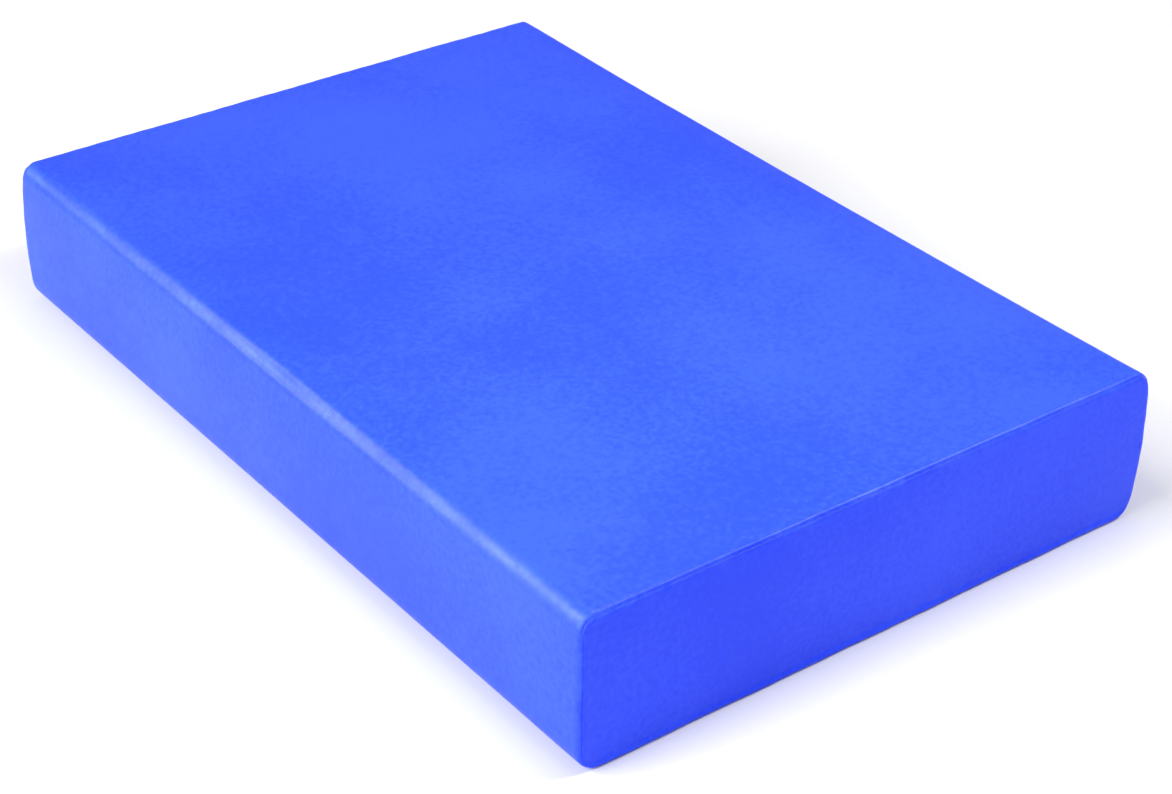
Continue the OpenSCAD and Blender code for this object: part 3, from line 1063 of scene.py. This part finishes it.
def slider():
    """The slider: two plates joined by a web between the coils, lips that guide the coils, and the bail."""
    lo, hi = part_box("zip_slider")
    plate_t = 1.2 * MM
    bail_top = 2.5 * MM
    y0, y1 = lo.y, hi.y
    wide = hi.z - zip_z
    narrow = wide - 1 * MM
    lower = [(y0, -narrow), (y1 - 4 * MM, -wide), (y1 - 1 * MM, -wide), (y1, 1 * MM - wide)]
    corners = lower + [(y, -z) for y, z in lower[::-1]]
    outline = rounded([(y, zip_z + z) for y, z in corners], 0.6 * MM)
    outer_x = hi.x - bail_top - plate_t
    parts = [
        plate([outline], outer_x, outer_x + plate_t, 0.4 * MM),
        plate([outline], lo.x, lo.x + plate_t, 0.4 * MM),
        plate([box_outline(y1 - 4 * MM, y1 - 1 * MM, zip_z - 0.2 * MM, zip_z + 0.2 * MM, 0.1 * MM)],
              lo.x + plate_t / 2, outer_x + plate_t / 2, 0.02 * MM),
    ]
    for side in (-1, 1):
        inner, outer = sorted((zip_z + side * (wide - 0.8 * MM), zip_z + side * wide))
        lip = box_outline(y1 - 4 * MM, y1 - 1 * MM, inner, outer, 0.2 * MM)
        parts.append(plate([lip], tape_x + 0.2 * MM, outer_x + plate_t / 2, 0.1 * MM))
    base_x = outer_x + plate_t
    reach = 3.3 * MM
    arch = []
    rise = 0.9 * MM
    bend_r = 1.1 * MM
    for angle in np.radians([0, 22, 45, 68, 90]):
        arch.append((base_x + rise + bend_r * math.sin(angle), reach - bend_r * (1 - math.cos(angle))))
    arch = [(base_x - 0.5 * MM, reach)] + arch
    arch += [(x, -z) for x, z in arch[::-1]]
    path = [(x, (y0 + y1) / 2, zip_z + z) for x, z in arch]
    parts.append(tube(path, 0.9 * MM, 0.5 * MM, sides=16, guide=(0, 1, 0)))
    return metal("slider_body", "zip_slider", "slider", parts)


def pull():
    """The pull: a hinge bar under the bail, two arms and a waisted tab with an eye near its rounded tip."""
    lo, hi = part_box("zip_pull")
    hinge = Vector(next(j for j in frame["joints"] if j["type"] == "hinge")["pos_m"])
    half = hi.z - hinge.z
    bar_r = hi.y - hinge.y
    arm_in = 1.2 * MM
    slot_y = hinge.y - 4.8 * MM
    waist = half - 0.6 * MM
    eye_y = lo.y + 3.2 * MM
    z = hinge.z
    outline = [
        (hinge.y, z + arm_in), (slot_y + 0.2 * MM, z + arm_in), (slot_y, z + arm_in - 0.3 * MM),
        (slot_y, z - arm_in + 0.3 * MM), (slot_y + 0.2 * MM, z - arm_in), (hinge.y, z - arm_in),
        (hinge.y, z - half), (slot_y - 1 * MM, z - half),
    ]
    waist_y = np.linspace(slot_y - 2 * MM, eye_y + 1 * MM, 12)
    pinch = np.sin(np.linspace(0, math.pi, 12)) ** 0.7
    outline += [(y, z - half + (half - waist) * p) for y, p in zip(waist_y, pinch)]
    tip = np.linspace(-math.pi / 2, math.pi / 2, 15)
    outline += [(eye_y - half * math.cos(a), z + half * math.sin(a)) for a in tip]
    outline += [(y, z + half - (half - waist) * p) for y, p in zip(waist_y[::-1], pinch)]
    outline += [(slot_y - 1 * MM, z + half), (hinge.y, z + half)]
    parts = [plate([outline, circle(eye_y, z, 1.8 * MM)], hinge.x - bar_r, hinge.x + bar_r, 0.3 * MM)]
    ends = [hinge.z - half, hinge.z - half + 0.2 * MM, hinge.z + half - 0.2 * MM, hinge.z + half]
    parts.append(tube([(hinge.x, hinge.y, end) for end in ends], bar_r, sides=20, guide=(1, 0, 0)))
    for y in np.arange(eye_y + 5 * MM, slot_y - 3.5 * MM, 1.3 * MM):
        ridge = [(hinge.x + bar_r - 0.1 * MM, y, z + k * (waist - 0.7 * MM)) for k in (-1, -0.8, 0.8, 1)]
        parts.append(tube(ridge, 0.28 * MM, sides=8, guide=(0, 1, 0)))
    return metal("pull_tab", "zip_pull", "pull", parts)


slider()
pull()

# --- Floor, light and camera ---

def pale_floor():
    """A wide, plain, nearly white floor."""
    m = Shader("pale_floor", IOR=1.4)
    colour = m.mixed(m.noise(3, 2.0), (0.76, 0.76, 0.765), (0.79, 0.79, 0.79))
    material = m.done(colour, m.spread(m.noise(6), 0.75, 0.85), m.bump(m.noise(300), 0.00002, 0.3))
    size = 6
    line = np.linspace(-size, size, 9)
    points = np.stack([a.ravel() for a in np.meshgrid(line, line, [0.0], indexing="ij")], 1)
    floor = new_mesh("floor", points, grid_faces(9, 9)[:, ::-1])
    floor.data.materials.append(material)


def softbox(name, place, power, size, aim=(0, 0, 0.03)):
    """A square area light at a place, turned to the pad."""
    light = bpy.data.lights.new(name, "AREA")
    light.energy = power
    light.size = size
    obj = bpy.data.objects.new(name, light)
    obj.location = place
    obj.rotation_euler = (Vector(place) - Vector(aim)).to_track_quat("Z", "Y").to_euler()
    bpy.context.scene.collection.objects.link(obj)


def light_world(strength):
    """Even white light from all round, of that strength."""
    world = bpy.data.worlds.new("studio")
    world.use_nodes = True
    background = world.node_tree.nodes["Background"]
    background.inputs["Color"].default_value = (1, 1, 1, 1)
    background.inputs["Strength"].default_value = strength
    bpy.context.scene.world = world


def camera():
    """The camera: up and to the front left, turned slightly about its own line of sight."""
    place = (-0.6208, -0.8329, 0.6487)
    azimuth, elevation, roll = (math.radians(a) for a in (-37.64, 31.93, 1.15))
    lens = bpy.data.cameras.new("camera")
    lens.lens = 80.2
    lens.sensor_width = 36
    obj = bpy.data.objects.new("camera", lens)
    back = Vector((math.sin(azimuth) * math.cos(elevation), -math.cos(azimuth) * math.cos(elevation),
                   math.sin(elevation)))
    turn = back.to_track_quat("Z", "Y").to_matrix() @ Matrix.Rotation(roll, 3, "Z")
    obj.matrix_world = Matrix.Translation(place) @ turn.to_4x4()
    bpy.context.scene.collection.objects.link(obj)
    bpy.context.scene.camera = obj


# Lights are given as place in metres, power in watts and size in metres
pale_floor()
light_world(0.42)
softbox("key", (-2.2, 0.4, 1.1), 91, 2.2)
softbox("rim", (-1.42, 1.44, 0.98), 16, 0.5)
softbox("fill", (0.85, -0.62, 1.2), 12, 0.3)
softbox("overhead", (-0.07, -0.14, 0.42), 1.2, 0.2, (-0.07, -0.14, 0))
camera()
bpy.context.scene.view_settings.view_transform = "Standard"
